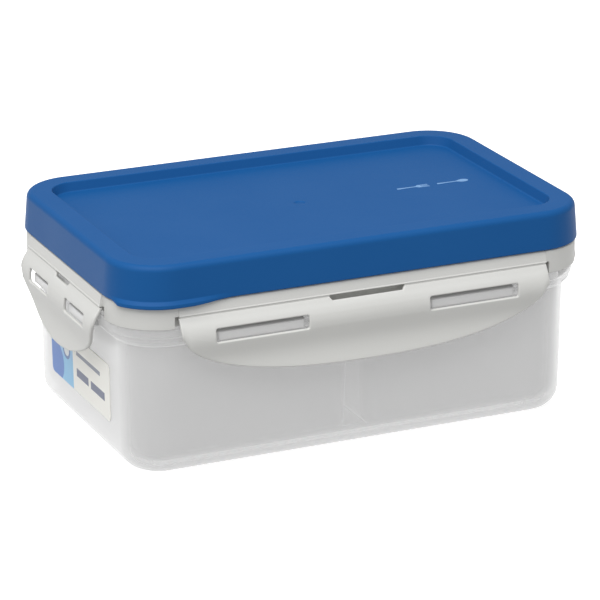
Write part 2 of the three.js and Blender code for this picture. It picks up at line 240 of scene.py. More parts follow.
class Finish:
    """A material, built node by node."""

    def __init__(self, name):
        self.material = bpy.data.materials.new(name)
        self.material.use_nodes = True
        self.tree = self.material.node_tree
        self.tree.nodes.clear()
        self.place = self.node("ShaderNodeTexCoord", {}, {}, "Object")

    def node(self, kind, settings, inputs, output=0):
        made = self.tree.nodes.new(kind)
        for key, value in settings.items():
            setattr(made, key, value)
        for key, value in inputs.items():
            if isinstance(value, Wire):
                self.tree.links.new(value.socket, made.inputs[key])
            else:
                made.inputs[key].default_value = value
        return Wire(self, made.outputs[output])

    def noise(self, scale, detail=2.0, stretch=None):
        place = self.place
        if stretch:
            place = self.node("ShaderNodeVectorMath", {"operation": "MULTIPLY"},
                              {0: place, 1: stretch})
        return self.node("ShaderNodeTexNoise", {},
                         {"Vector": place, "Scale": scale, "Detail": detail}, "Fac")

    def mix(self, share, first, second):
        return self.node("ShaderNodeMix", {"data_type": "RGBA"},
                         {"Factor": share, 6: first, 7: second}, 2)

    def bump(self, height, distance, strength=1.0):
        inputs = {"Height": height, "Distance": distance, "Strength": strength}
        return self.node("ShaderNodeBump", {}, inputs)

    def axes(self):
        split = self.node("ShaderNodeSeparateXYZ", {}, {"Vector": self.place})
        outputs = split.socket.node.outputs
        return [Wire(self, outputs[axis]) for axis in "XYZ"]

    def surface(self, inputs):
        return self.surface_from(self.node("ShaderNodeBsdfPrincipled", {}, inputs))

    def surface_from(self, shader):
        output = self.tree.nodes.new("ShaderNodeOutputMaterial")
        self.tree.links.new(shader.socket, output.inputs["Surface"])
        return self.material


def colour(red, green, blue):
    """A colour as seen on screen, 0 to 255, as the linear colour that shaders use."""
    levels = [level / 255 for level in (red, green, blue)]
    return (*[v / 12.92 if v <= 0.04045 else ((v + 0.055) / 1.055) ** 2.4 for v in levels], 1.0)


print("finishes are built from", Finish.__name__, "and", Wire.__name__)

# %% [markdown]
# The container and trays are natural polypropylene, which is milky: light passes through, a little
# scattered, and the faces keep a soft gloss. Bending light through every thin wall came out far too
# dark, so the finish mixes plain see-through plastic with solid white plastic, and more of it is
# solid where the wall is seen edge on. The solid part glows a little, in place of the light that
# real milky plastic scatters inside itself. That glow does not follow the lamps, so it would have
# to be lowered for a dark scene.

# %% Milky polypropylene
POLYPROPYLENE_IOR = 1.49
EDGE_SHARE, FLOW_SHARE = 0.6, 0.03


def milky(name, tint, haze, gloss, pass_tint, glow):
    """Plastic that is part solid and part clear, with haze as the solid share seen face on."""
    finish = Finish(name)
    flow = finish.noise(18.0, 3.0, (1.0, 1.0, 0.35))
    grain = finish.noise(900.0)
    facing = finish.node("ShaderNodeLayerWeight", {}, {"Blend": 0.5}, "Facing")
    edge_on = facing * facing
    body = finish.mix(flow * 0.5, colour(*tint), colour(*[level - 8 for level in tint]))
    plastic = finish.node("ShaderNodeBsdfPrincipled", {}, {
        "Base Color": body,
        "Roughness": gloss - 0.04 + flow * 0.06 + grain * 0.03,
        "Normal": finish.bump(flow * 0.8 + grain * 0.2, 0.00006, 0.5),
        "IOR": POLYPROPYLENE_IOR,
        "Emission Color": colour(*tint),
        "Emission Strength": glow,
    })
    clear = finish.node("ShaderNodeBsdfTransparent", {}, {"Color": colour(*pass_tint)})
    share = haze + edge_on * EDGE_SHARE + (flow - 0.5) * FLOW_SHARE
    return finish.surface_from(finish.node("ShaderNodeMixShader", {}, {0: share, 1: clear, 2: plastic}))


container_finish = milky("milky_wall", (222, 222, 222), 0.22, 0.25, (236, 236, 236), 0.33)
tray_finish = milky("milky_tray", (206, 206, 206), 0.38, 0.28, (252, 252, 252), 0.44)
catch_finish = milky("milky_catch", (226, 226, 226), 0.7, 0.25, (246, 246, 246), 0.0)
print("milky plastics:", container_finish.name, tray_finish.name)

# %% [markdown]
# The lid and flaps are the same plastic with a light grey colour in it, and the cover is blue. Both
# come from finely grained moulds, so a close look shows a satin surface with a faint, even grain,
# and the large faces vary a little in gloss where the plastic flowed.

# %% Coloured polypropylene
def satin(name, tint, depth, gloss, grain_size, shine=0.3):
    finish = Finish(name)
    flow = finish.noise(25.0, 3.0)
    grain = finish.noise(grain_size, 4.0)
    darker = colour(*[max(level - depth, 0) for level in tint])
    return finish.surface({
        "Base Color": finish.mix(flow * 0.7 + grain * 0.3, colour(*tint), darker),
        "Roughness": gloss - 0.06 + flow * 0.08 + grain * 0.06,
        "Normal": finish.bump(grain, 0.00005, 0.5),
        "IOR": 1.46,
        "Specular IOR Level": shine,
    })


grey_finish = satin("grey_satin", (208, 208, 205), 6, 0.42, 1600.0)
blue_finish = satin("blue_satin", (22, 83, 142), 5, 0.48, 1400.0, 0.14)
mark_finish = satin("mark_print", (120, 160, 205), 6, 0.5, 1400.0)
silicone_finish = satin("silicone", (242, 242, 238), 6, 0.6, 700.0)
print("coloured plastics:", grey_finish.name, blue_finish.name)

# %% [markdown]
# The container is one deep moulding. Its section starts under the sunk middle of the base, goes
# round the foot and up the slightly tapered wall to a double-stepped rim, over the upright lip under
# the seal, and back down the inside to the floor.

# %% Container
WALL_FOOT, WALL_TOP, RIM_BOTTOM = 15.8, 16.5, 53.6
container_section = rounded([
    (1.0, 2.0, 0), (2.0, 2.0, 0.3), (3.0, 1.2, 0.3), (3.0, 0.0, 0.3),
    (15.66, 0.0, 9.0), (WALL_TOP, RIM_BOTTOM, 0.5),
    (18.0, 54.4, 0.8), (19.2, 55.8, 0.8), (19.2, 57.7, 0.2), (20.1, 58.2, 0.35), (20.1, 61.5, 0.4),
    (16.7, 61.5, 0.2), (16.7, 66.6, 0.4), (15.1, 66.6, 0.3), (14.9, 61.5, 0.5),
    (14.06, 4.2, 7.2), (1.0, 4.2, 0),
])
container = piece("container_shell", *skin(sweep(stations(), container_section)), container_finish,
                  "clear_pp", "container", ["container"])

# %% [markdown]
# The four sides share one set of sizes for the long sides and one for the short. `on_side` takes
# points drawn for the front, as along the side, outwards and up, to their own side.

# %% The four sides
HINGE_Z = 65.9
HINGE_HALF_GAP = 0.75
LONG = dict(reach=63.1, core=CORE_Y, half=77.8, bottom=39.8, ends=62.0, power=2.4, root=2.3,
            window=(25.6, 64.0), slot=15.9)
SHORT = dict(reach=100.8, core=CORE_X, half=39.6, bottom=39.4, ends=62.0, power=2.0, root=2.0,
             window=(9.0, 30.0), slot=7.5)
SIDES = {"front": (0, LONG), "right": (90, SHORT), "back": (180, LONG), "left": (270, SHORT)}


def on_side(turn, side, along, out, up):
    points = np.stack([along, -(side["reach"] + out), up], axis=-1)
    angle = math.radians(turn)
    spin = np.array([[math.cos(angle), -math.sin(angle), 0],
                     [math.sin(angle), math.cos(angle), 0], [0, 0, 1]])
    return points @ spin.T * MM


print("sides:", ", ".join(SIDES))

# %% [markdown]
# On the real box each window of a flap closes over a catch on the container's rim. A catch is a bar
# with a ramp above and a short step below, and its ends are rounded in plan. It is swept along the
# side from a short list of places, shrinking towards each end. These catches fill the windows to
# look at, but stop just short of the flap's inner face, so they do not hold it.

# %% Catches
CATCH_CLEAR = 0.7
CATCH_TIP, CATCH_ROUND = 1.7, 0.4
CATCH_ROOT_HEIGHTS, CATCH_TIP_HEIGHTS = (55.0, 60.9), (55.7, 59.0)
CATCH_ROOT = 18.2
END_PLACES = np.array([0.0, 0.3, 0.8, 1.5])
END_SHARES = np.array([0.55, 0.82, 0.96, 1.0])


def bar(section, along, shares):
    """A bar of one closed section, shrunk towards its root by a share at each place along."""
    middle = section.mean(axis=0)
    root = section[:, 0].min()
    rings = []
    for share in shares:
        ring = section.copy()
        ring[:, 0] = root + (section[:, 0] - root) * share
        ring[:, 1] = middle[1] + (section[:, 1] - middle[1]) * (0.7 + 0.3 * share)
        rings.append(ring)
    rings = np.array(rings)
    return np.broadcast_to(along[:, None], rings.shape[:2]), rings[..., 0], rings[..., 1]


def tube_faces(rings, points):
    """Faces of a closed bar, with both ends filled."""
    index = np.arange(rings * points).reshape(rings, points)
    side = np.roll(index, -1, axis=1)
    faces = np.stack([index[:-1], index[1:], side[1:], side[:-1]], axis=-1).reshape(-1, 4).tolist()
    return faces + [index[0].tolist(), index[-1, ::-1].tolist()]


def catches():
    points, faces = [], []
    for turn, side in SIDES.values():
        root = CATCH_ROOT + side["core"] - side["reach"]
        section = rounded([(root, CATCH_ROOT_HEIGHTS[0], 0),
                           (CATCH_TIP, CATCH_TIP_HEIGHTS[0], CATCH_ROUND),
                           (CATCH_TIP, CATCH_TIP_HEIGHTS[1], CATCH_ROUND),
                           (root, CATCH_ROOT_HEIGHTS[1], 0)])
        for start, end in (side["window"], [-edge for edge in side["window"]][::-1]):
            first, last = start + CATCH_CLEAR, end - CATCH_CLEAR
            along = np.concatenate([first + END_PLACES, last - END_PLACES[::-1]])
            grid = on_side(turn, side, *bar(section, along, [*END_SHARES, *END_SHARES[::-1]]))
            bottom = len(points)
            points += grid.reshape(-1, 3).tolist()
            faces += [[bottom + corner for corner in face] for face in tube_faces(*grid.shape[:2])]
    return points, faces


piece("catches", *catches(), catch_finish, "clear_pp", "container")

# %% [markdown]
# Two trays lift out of the container. The left one is a single rounded well, so its section sweeps
# round its own, smaller core. The right one has two wells. Cutting the wells out of a solid leaves
# the divider standing between them, as the mould does. That there are two trays, and how they are
# divided, is a guess, since little of them shows through the wall.

# %% Left tray
TRAY_CORE = (31.0, 41.2)
TRAY_MIDDLE = 47.1
TRAY_TOP = 60.1
TRAY_FLOOR = 5.8
TRAY_INSIDE = 12.4
tray_outer = [(1.0, 4.5, 0), (12.35, 4.5, 7.0), (13.7, 58.7, 0.3), (14.5, 58.9, 0.3),
              (14.5, TRAY_TOP, 0.35)]
tray_section = rounded([*tray_outer, (TRAY_INSIDE, TRAY_TOP, 0.4), (11.1, TRAY_FLOOR, 5.7),
                        (1.0, TRAY_FLOOR, 0)])
left_points, left_faces = skin(sweep(stations(*TRAY_CORE), tray_section, tight_side=1))
left_points = [(x - TRAY_MIDDLE * MM, y, z) for x, y, z in left_points]
piece("left_tray_shell", left_points, left_faces, tray_finish, "tray_pp", "left_tray", ["left_tray"])

# %% Right tray
DIVIDER_TOP = 57.0
DIVIDER_HALF = 0.65
WELL_CORNER = 7.0
ABOVE_TRAY = 62.0


def closed_block(core, centre, corners, tight_side=0):
    points, faces = skin(sweep(stations(*core), rounded(corners), tight_side))
    mesh = bpy.data.meshes.new("block")
    mesh.from_pydata([(x + centre[0] * MM, y + centre[1] * MM, z) for x, y, z in points], [], faces)
    block = bpy.data.objects.new("block", mesh)
    bpy.context.scene.collection.objects.link(block)
    return block


def cut(block, cutters):
    """The block's mesh with the cutters taken away. The helper objects are removed."""
    for cutter in cutters:
        step = block.modifiers.new("cut", "BOOLEAN")
        step.operation = "DIFFERENCE"
        step.solver = "EXACT"
        step.object = cutter
    shape = bpy.data.meshes.new_from_object(block.evaluated_get(bpy.context.evaluated_depsgraph_get()))
    for helper in [block, *cutters]:
        bpy.data.objects.remove(helper)
    return [tuple(v.co) for v in shape.vertices], [tuple(f.vertices) for f in shape.polygons]


tray_block = closed_block(TRAY_CORE, (TRAY_MIDDLE, 0), [*tray_outer, (1.0, TRAY_TOP, 0)], -1)
well_y = (TRAY_CORE[1] + TRAY_INSIDE + DIVIDER_HALF) / 2
well_core = (TRAY_CORE[0] + TRAY_INSIDE - WELL_CORNER,
             TRAY_CORE[1] + TRAY_INSIDE - well_y - WELL_CORNER)
well = [(0.5, TRAY_FLOOR, 0), (WELL_CORNER - 1.3, TRAY_FLOOR, 4.5), (WELL_CORNER, TRAY_TOP, 0),
        (WELL_CORNER, ABOVE_TRAY, 0), (0.5, ABOVE_TRAY, 0)]
wells = [closed_block(well_core, (TRAY_MIDDLE, end * well_y), well) for end in (-1, 1)]
above = closed_block(TRAY_CORE, (TRAY_MIDDLE, 0), [(1.0, DIVIDER_TOP, 0), (12.3, DIVIDER_TOP, 0.0),
                                                  (TRAY_INSIDE, ABOVE_TRAY, 0),
                                                  (1.0, ABOVE_TRAY, 0)], -1)
piece("right_tray_shell", *cut(tray_block, [*wells, above]), tray_finish, "tray_pp", "right_tray",
      ["right_tray"], crisp=25)

# %% [markdown]
# The lid is a rigid grey frame. At its corners it has a skirt that comes down over the rim. Along
# the sides the skirt is cut away for the flaps, and a hinge shoulder with a small flared lower edge
# takes its place. Both shapes, and the short bare stretch between them, are sections with the same
# number of points, so one sweep makes the whole lid and changes section from station to station.

# %% Lid
FLAP_END_GAP = 1.5
SKIRT_FOOT = 61.8
SHOULDER_OUT = 20.6
SHOULDER_FOOT = HINGE_Z + HINGE_HALF_GAP
lid_underside = [(1.0, 69.4, 0), (13.1, 69.4, 0.3), (13.1, 60.5, 0.3), (14.4, 60.5, 0.3),
                 (14.4, 69.4, 0.2), (17.3, 69.4, 0.2), (17.3, 62.2, 0.3)]
lid_top = [(19.65, 71.4, 0.3), (19.4, 76.6, 0.8), (17.6, 76.6, 0.4), (17.0, 71.2, 0.6), (1.0, 71.2, 0)]


def lid_section(kind, face=0.0):
    if kind == "skirt":
        edge = [(18.6, 62.2, 0.3), (18.6, 69.4, 0.2), (19.9, 69.4, 0.4), (19.9, SKIRT_FOOT, 0.2),
                (21.3, SKIRT_FOOT, 0.4), (21.3, 66.0, 0.2), (21.3, 68.5, 0.2), (21.3, 71.4, 0.7)]
    elif kind == "bare":
        edge = [(18.6, 62.2, 0.3), (18.6, SHOULDER_FOOT, 0.1), (19.9, SHOULDER_FOOT, 0.1),
                (SHOULDER_OUT, SHOULDER_FOOT, 0.1), (21.3, SHOULDER_FOOT, 0.3), (21.3, 67.6, 0.1),
                (21.3, 68.6, 0.1), (21.3, 71.4, 0.7)]
    else:
        edge = [(18.6, 62.2, 0.3), (18.6, SHOULDER_FOOT, 0.1), (19.9, SHOULDER_FOOT, 0.1),
                (20.9, SHOULDER_FOOT, 0.1), (face + 0.12, SHOULDER_FOOT, 0.2),
                (face + 0.1, 66.95, 0.1), (face - 0.15, 67.3, 0.3), (face - 0.9, 71.4, 0.8)]
    return rounded([*lid_underside, *edge, *lid_top])


def lid_sections(path):
    corner = {kind: lid_section(kind) for kind in ("skirt", "bare")}
    shoulders = {id(side): lid_section("shoulder", side["reach"] - side["core"])
                 for side in (LONG, SHORT)}
    chosen = []
    for core_x, core_y, out_x, out_y in path:
        long_side = abs(out_y) > abs(out_x)
        side = LONG if long_side else SHORT
        along = abs(core_x + SHOULDER_OUT * out_x) if long_side else abs(core_y + SHOULDER_OUT * out_y)
        if along < side["half"]:
            chosen.append(shoulders[id(side)])
        else:
            chosen.append(corner["bare" if along < side["half"] + FLAP_END_GAP else "skirt"])
    return np.array(chosen)


def edge_pair(place):
    return (place - 0.03, place + 0.03)


skirt_turn = 90 - math.degrees(math.asin(
    (LONG["half"] + FLAP_END_GAP - CORE_X) / SHOULDER_OUT))
lid_path = stations(
    marks_x=edge_pair(LONG["half"]),
    marks_y=(*edge_pair(SHORT["half"]), *edge_pair(SHORT["half"] + FLAP_END_GAP)),
    angles=(skirt_turn - 0.1, skirt_turn + 0.1),
)
piece("lid_frame", *skin(sweep(lid_path, lid_sections(lid_path))), grey_finish, "grey_pp", "lid",
      ["lid"])

# %% [markdown]
# The seal is a soft silicone ring in the lid's channel. Its underside has a shallow groove, and on
# the real box the container's lip presses into it. Here the ring has its free shape, with a small
# gap above and below, because a squeezed seal would overlap the lip.

# %% Seal ring
seal_section = rounded([
    (SEAL_INNER, 69.1, 0.3), (SEAL_INNER, 66.9, 0.4), (15.4, 66.9, 0.2), (15.5, 67.3, 0.2),
    (16.2, 67.3, 0.2), (16.3, 66.9, 0.2), (SEAL_OUTER, 66.9, 0.4), (SEAL_OUTER, 69.1, 0.3),
])
piece("seal", *skin(sweep(stations(), seal_section), ring=True), silicone_finish, "silicone", "lid",
      ["seal_ring"])

# %% [markdown]
# A flap is a thin plate, curved from its hinge edge down to a flared lower lip, with two windows and
# a slot. A grid suits it: the columns follow the side, the rows follow four lines (hinge edge,
# window top, window bottom and lower edge), and the cells inside a window are left out. The grid is
# made twice, for the outer and the inner face, and every border is joined. Near a border both faces
# sink towards each other along a quarter circle, which rounds all the edges of the moulding.

# %% Flap outline
FLAP_THICKNESS = 1.4
WINDOW_BOTTOM, WINDOW_TOP, WINDOW_CORNER = 55.5, 61.0, 0.8
FLAP_TOP, SLOT_FOOT, SLOT_SLANT = 66.2, 64.75, 1.0
EDGE_ROUND = 0.5
EDGE_STEPS = EDGE_ROUND * (1 - np.cos(np.radians([0, 30, 60, 90])))
FLAP_FACE = [(-0.1, 0.3), (0.45, -0.6), (1.1, -1.7), (2.1, -3.2), (3.1, -5.6), (3.5, -8.0),
             (3.35, -10.5), (2.7, -13.5), (2.1, -16.5), (2.0, -19.5), (2.5, -23.0), (3.5, -27.4)]


def face_curve():
    """The flap's outer face as heights and distances out, on a smooth curve."""
    knots = np.array(FLAP_FACE)
    knots = np.vstack([2 * knots[0] - knots[1], knots, 2 * knots[-1] - knots[-2]])
    share = np.linspace(0, 1, 12, endpoint=False)[:, None]
    points = []
    for a, b, c, d in zip(knots, knots[1:], knots[2:], knots[3:]):
        points.append(b + 0.5 * share * (c - a + share * (2 * a - 5 * b + 4 * c - d
                                                          + share * (3 * (b - c) + d - a))))
    points = np.vstack([*points, knots[-2]])[::-1]
    return points[:, 1] + HINGE_Z, points[:, 0]


FACE_UP, FACE_OUT = face_curve()


def lower_edge(side, along):
    share = np.abs(along / side["half"]) ** side["power"]
    curve = (1 - np.clip(1 - share, 0, 1) ** (1 / side["root"]))
    return side["bottom"] + (side["ends"] - side["bottom"]) * curve


def flap_columns(side):
    near, far = side["window"]
    corner = WINDOW_CORNER * (1 - np.cos(np.radians([22.5, 45, 67.5, 90])))
    marks = [0.0, *(side["half"] - EDGE_STEPS)]
    for end, inward in ((near, 1), (far, -1)):
        marks += [*(end - inward * EDGE_STEPS), *(end + inward * corner)]
    marks += [*(side["slot"] + EDGE_STEPS), *(side["slot"] - SLOT_SLANT * np.array([0.5, 1.0, 1.4]))]
    filling = [place for place in np.arange(2.0, side["half"], 2.2)
               if min(abs(place - mark) for mark in marks) > 0.7]
    right = np.array(sorted([*marks, *filling]))
    return np.concatenate([-right[:0:-1], right])


def window_line(side, along, level, inward):
    """Height of a window's edge, with its rounded corners."""
    ends = np.array(side["window"])
    distance = np.min(np.abs(np.abs(along)[:, None] - ends), axis=1)
    rise = np.sqrt(WINDOW_CORNER ** 2 - (WINDOW_CORNER - np.minimum(distance, WINDOW_CORNER)) ** 2)
    return level + inward * (WINDOW_CORNER - rise)


def band(top, bottom, cells):
    """Heights from one line to the next for every column, closer together at both lines."""
    height = top - bottom
    rim = np.minimum(height / 4 / EDGE_ROUND, 1)[:, None] * EDGE_STEPS
    middle = np.linspace(0, 1, cells + 1)[1:-1]
    first, last = top[:, None] - rim, bottom[:, None] + rim[:, ::-1]
    inner = first[:, -1:] + (last[:, :1] - first[:, -1:]) * middle
    return np.hstack([first, inner, last])


def flap_grid(side):
    """Column places, heights of all rows, and which cells hold plastic."""
    along = flap_columns(side)
    distance = np.abs(along)
    slot = np.clip((side["slot"] - distance) / SLOT_SLANT, 0, 1)
    top = FLAP_TOP - (FLAP_TOP - SLOT_FOOT) * slot
    low = lower_edge(side, along)
    upper = window_line(side, along, WINDOW_TOP, -1)
    lower = window_line(side, along, WINDOW_BOTTOM, 1)
    far = side["window"][1]
    past = distance > far
    edge_low = lower_edge(side, np.array([far]))[0]
    share = [(level - edge_low) / (FLAP_TOP - edge_low)
             for level in (WINDOW_TOP, WINDOW_BOTTOM)]
    blend = fade(distance, far, far + WINDOW_CORNER)
    upper = np.where(past, upper * (1 - blend) + (low + (top - low) * share[0]) * blend, upper)
    lower = np.where(past, lower * (1 - blend) + (low + (top - low) * share[1]) * blend, lower)
    bands = [band(top, upper, 5), band(upper, lower, 4), band(lower, low, 10)]
    heights = np.hstack([bands[0], bands[1][:, 1:], bands[2][:, 1:]])
    solid = np.ones((len(along) - 1, heights.shape[1] - 1), bool)
    middle = (distance[:-1] + distance[1:]) / 2
    inside = (middle > side["window"][0]) & (middle < far)
    first = bands[0].shape[1] - 1
    solid[np.ix_(inside, range(first, first + bands[1].shape[1] - 1))] = False
    return along, heights, solid


print("window rounding:", WINDOW_CORNER, "mm; edge rounding:", EDGE_ROUND, "mm")

# %% Flap faces
def border_edges(cells):
    """Directed edges that belong to one cell only."""
    edges = np.concatenate([cells[:, [a, (a + 1) % 4]] for a in range(4)])
    known = {tuple(edge) for edge in edges.tolist()}
    return np.array([edge for edge in known if edge[::-1] not in known])


def distance_to(points, starts, ends):
    """Distance from each flat point to the nearest of the given segments."""
    nearest = np.full(len(points), np.inf)
    for start, end in zip(starts, ends):
        run = end - start
        share = np.clip(((points - start) @ run) / max(run @ run, 1e-12), 0, 1)
        nearest = np.minimum(nearest, np.linalg.norm(points - start - share[:, None] * run, axis=1))
    return nearest


def flap(turn, side):
    along, heights, solid = flap_grid(side)
    columns, rows = heights.shape
    index = np.arange(columns * rows).reshape(columns, rows)
    cells = np.stack([index[:-1, :-1], index[:-1, 1:], index[1:, 1:], index[1:, :-1]], axis=-1)[solid]
    flat = np.stack([np.repeat(along, rows), heights.ravel()], axis=-1)
    used, cells = np.unique(cells, return_inverse=True)
    cells, flat = cells.reshape(-1, 4), flat[used]
    border = border_edges(cells)
    away = distance_to(flat, flat[border[:, 0]], flat[border[:, 1]])
    sink = EDGE_ROUND - np.sqrt(np.maximum(EDGE_ROUND ** 2 - np.maximum(EDGE_ROUND - away, 0) ** 2, 0))
    out = np.interp(flat[:, 1], FACE_UP, FACE_OUT)
    step = 0.2
    slope = (np.interp(flat[:, 1] + step, FACE_UP, FACE_OUT)
             - np.interp(flat[:, 1] - step, FACE_UP, FACE_OUT)) / (2 * step)
    normal = np.stack([np.ones_like(slope), -slope * 0.6], axis=-1)
    normal /= np.linalg.norm(normal, axis=1)[:, None]
    layers = []
    for depth in (sink, FLAP_THICKNESS - sink):
        layers.append(on_side(turn, side, flat[:, 0], out - normal[:, 0] * depth,
                              flat[:, 1] - normal[:, 1] * depth))
    count = len(flat)
    rims = [(b, a, a + count, b + count) for a, b in border.tolist()]
    faces = cells.tolist() + (cells[:, ::-1] + count).tolist() + rims
    return np.concatenate(layers).tolist(), faces


for name, (turn, side) in SIDES.items():
    piece(f"{name}_flap_shell", *flap(turn, side), grey_finish, "grey_pp", f"{name}_flap",
          [f"{name}_flap"], crisp=50)

# %% [markdown]
# The flaps hang on film hinges: the plastic is moulded half a millimetre thick along the fold. Each
# strip starts inside the lid's shoulder and ends inside the flap, and it has rows across the fold. It
# rides on neither body, so it stays in place when a flap swings.

# %% Film hinges
WEB_OUTER, WEB_THICKNESS = -0.1, 0.5
web_rows = HINGE_Z + np.linspace(1.1, -1.4, 13)


def film_hinge(name, turn, side, end):
    near, far = side["slot"], side["half"] - 0.5
    along = np.linspace(near, far, 9) * end
    along = along[::end]
    outs = [WEB_OUTER, WEB_OUTER - WEB_THICKNESS]
    section = np.array([*[(outs[0], up) for up in web_rows],
                        *[(outs[1], up) for up in web_rows[::-1]]])
    rings = np.broadcast_to(section, (len(along), *section.shape))
    grid = on_side(turn, side, np.broadcast_to(along[:, None], rings.shape[:2]), rings[..., 0],
                   rings[..., 1])
    part = "a" if end < 0 else "b"
    strip = piece(f"{name}_web_{part}", grid.reshape(-1, 3).tolist(), tube_faces(*grid.shape[:2]),
                  grey_finish, "grey_pp", nodes=[f"{name}_hinge_{part}"], crisp=60)
    middle = on_side(turn, side, np.array(0.0), np.array(0.0), np.array(HINGE_Z))
    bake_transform(strip)


for name, (turn, side) in SIDES.items():
    for end in (-1, 1):
        film_hinge(name, turn, side, end)

# %% [markdown]
# The cover is a blue shell with a broad rim round a sunk panel. At the near left corner its lower
# edge is drawn out into a lip for a thumb. That lip is a second section, which fades into the plain
# one over a few stations. In the middle of the panel the rings turn from the box's outline into
# circles, to leave the small round dimple where the plastic entered the mould.

# %% Cover
COVER_FOOT, COVER_TOP, PANEL = 71.8, 87.0, 83.1
cover_underside = [(1.0, 81.5, 0), (11.1, 81.5, 0.5), (12.7, 85.4, 0.8), (18.9, 85.4, 1.4),
                   (20.3, COVER_FOOT, 0.3)]
cover_top = [(20.65, COVER_TOP, 2.6), (10.75, COVER_TOP, 0.5), (9.35, PANEL, 0.8), (4.0, PANEL, 0)]
plain_edge = [(20.8, COVER_FOOT, 0.1), (21.2, COVER_FOOT, 0.1), (21.9, COVER_FOOT, 0.35),
              (21.86, 72.6, 0.1), (21.77, 73.7, 0.2)]
lip_edge = [(21.5, COVER_FOOT - 0.1, 0.1), (21.75, 70.55, 0.25), (23.15, 70.5, 0.6),
            (22.95, 72.1, 0.5), (21.8, 73.4, 0.6)]
LIP_SIDE_END, LIP_FRONT_END = -50.0, -54.0
DIMPLE = [(3.4, PANEL), (2.4, PANEL), (2.2, PANEL - 0.1), (2.0, PANEL - 0.3), (1.0, PANEL - 0.35)]

cover_path = stations(marks_x=np.arange(36.0, 78.0, 2.0))
plain = rounded([*cover_underside, *plain_edge, *cover_top])
lipped = rounded([*cover_underside, *lip_edge, *cover_top])
place_x = cover_path[:, 0] + 22 * cover_path[:, 2]
place_y = cover_path[:, 1] + 22 * cover_path[:, 3]
on_left = cover_path[:, 2] < -0.7
share = np.where(on_left, fade(place_y, LIP_SIDE_END + 2, LIP_SIDE_END - 2),
                 fade(place_x, LIP_FRONT_END, LIP_FRONT_END - 20))
share = np.where((place_y < 0) & (place_x < 0), share, 0)
cover_grid = sweep(cover_path, plain + (lipped - plain) * share[:, None, None])
heading = np.arctan2(place_y, place_x)
circles = [np.stack([np.cos(heading) * r, np.sin(heading) * r, np.full_like(heading, z)], axis=-1)
           for r, z in DIMPLE]
cover_grid = np.concatenate([cover_grid, np.stack(circles, axis=1) * MM], axis=1)
piece("cover_shell", *skin(cover_grid), blue_finish, "blue_pp", "cover", ["cover"])

# %% [markdown]
# The panel carries a small light mark. Plain shapes in low relief, a fork and a spoon, stand in its
# place with no lettering. What the real cover holds is not known, so they are only a decoration.
# Each is one outline, given by half its width along its length and mirrored.

# %% Cutlery mark
MARK_X, MARK_LIFT = 59.0, 0.12
SPOON = [(0.0, 0.0), (0.15, 0.5), (0.6, 0.62), (4.0, 0.38), (8.3, 0.32), (9.2, 0.6), (10.2, 1.25),
         (11.4, 1.6), (12.6, 1.5), (13.6, 0.95), (14.0, 0.0)]
FORK = [(0.0, 0.0), (0.15, 0.5), (0.6, 0.62), (4.0, 0.38), (7.8, 0.32), (8.8, 0.7), (9.4, 1.4),
        (14.0, 1.5), (14.0, 0.95), (10.6, 0.9), (10.6, 0.3), (14.0, 0.28), (14.0, 0.0)]


def relief(outline, start):
    """A mirrored outline as a thin plate on the panel."""
    half = [(start + x, y) for x, y in outline]
    ring = half + [(x, -y) for x, y in half[-2:0:-1]]
    ring = ring[::-1]
    count = len(ring)
    base, top = (PANEL - 0.05) * MM, (PANEL + MARK_LIFT) * MM
    points = [(x * MM, y * MM, z) for z in (base, top) for x, y in ring]
    faces = [list(range(count))[::-1], list(range(count, 2 * count))]
    faces += [(i, (i + 1) % count, (i + 1) % count + count, i + count) for i in range(count)]
    return points, faces


for name, outline, start in (("fork", FORK, MARK_X - 16), ("spoon", SPOON, MARK_X + 2)):
    piece(f"mark_{name}", *relief(outline, start), mark_finish, "blue_pp", "cover")

# %% [markdown]
# A label is stuck to the left wall. It carries a plain blue picture of discs at one end, and plain
# bars on a pale ground in place of words. A print has no thickness of its own, so it belongs in the
# finish: each shape is a mask worked out from the place on the wall, with soft edges as fine as the
# print.

# %% Label print
LABEL_HALF, LABEL_BOTTOM, LABEL_TOP, LABEL_CORNER = 32.0, 16.0, 39.5, 2.2
PRINT_EDGE = 0.12 * MM
PICTURE_START = 8.0
DISCS = [  # place across, height, radius, ink
    (12.0, 17.0, 11.0, (120, 185, 225)), (27.0, 22.0, 8.5, (40, 105, 185)),
    (15.0, 30.5, 4.2, (60, 105, 165)), (15.0, 30.5, 2.9, (215, 220, 222)),
    (22.5, 34.5, 2.8, (185, 55, 50))]
BARS = [  # place across, half width, height, half height, ink
    (-9.0, 13.0, 32.5, 0.9, (105, 112, 130)), (-2.5, 6.5, 24.5, 1.7, (70, 80, 112)),
    (-19.0, 7.5, 24.5, 1.7, (70, 80, 112))]


